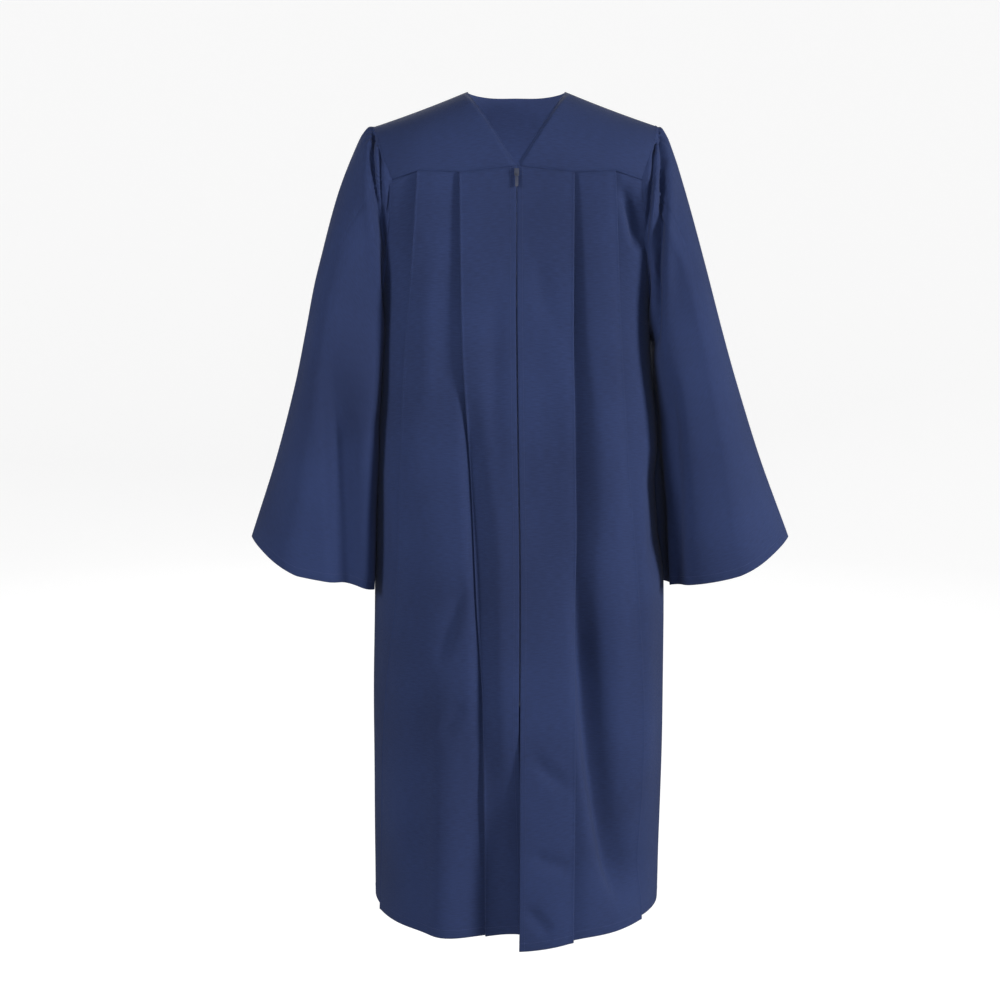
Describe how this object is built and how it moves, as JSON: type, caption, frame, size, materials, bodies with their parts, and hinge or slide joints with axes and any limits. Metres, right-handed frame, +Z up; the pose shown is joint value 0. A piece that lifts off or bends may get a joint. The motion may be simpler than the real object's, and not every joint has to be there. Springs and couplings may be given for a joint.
{
  "type": "graduation gown",
  "caption": "Full-length navy graduation gown with a smooth yoke, V neck, pleated body, front zip and bell sleeves, hollow as it is worn.",
  "frame": {"origin": "middle of the neck opening, level with the high points of the shoulders, where the wearer's shoulders hold the gown", "axes": "+Z up along the wearer, the front faces -Y, +X to the wearer's left"},
  "size_m": [0.8183, 0.3986, 1.2526],
  "materials": {
    "gown_cloth": "matte woven polyester, navy",
    "zip_tape": "woven tape, dark navy",
    "zip_coil": "moulded nylon coil, dark navy",
    "zip_metal": "satin enamel, blue-grey"
  },
  "bodies": {
    "gown": {"yoke_front_right": "gown_cloth", "yoke_front_left": "gown_cloth", "yoke_back": "gown_cloth", "front_right": "gown_cloth", "front_left": "gown_cloth", "back_panel": "gown_cloth", "sleeve_right": "gown_cloth", "sleeve_left": "gown_cloth", "zip_tape_right": "zip_tape", "zip_tape_left": "zip_tape", "zip_coil": "zip_coil", "zip_bottom_stop": "zip_metal", "zip_slider": "zip_metal"},
    "zip_pull": {"zip_pull_tab": "zip_metal"}
  },
  "joints": [
    {"name": "zip_pull_hinge", "type": "hinge", "parent": "gown", "child": "zip_pull", "pos_m": [0, -0.10077, -0.11972], "axis": [-1, 0, 0], "range_deg": [0, 125]}
  ]
}
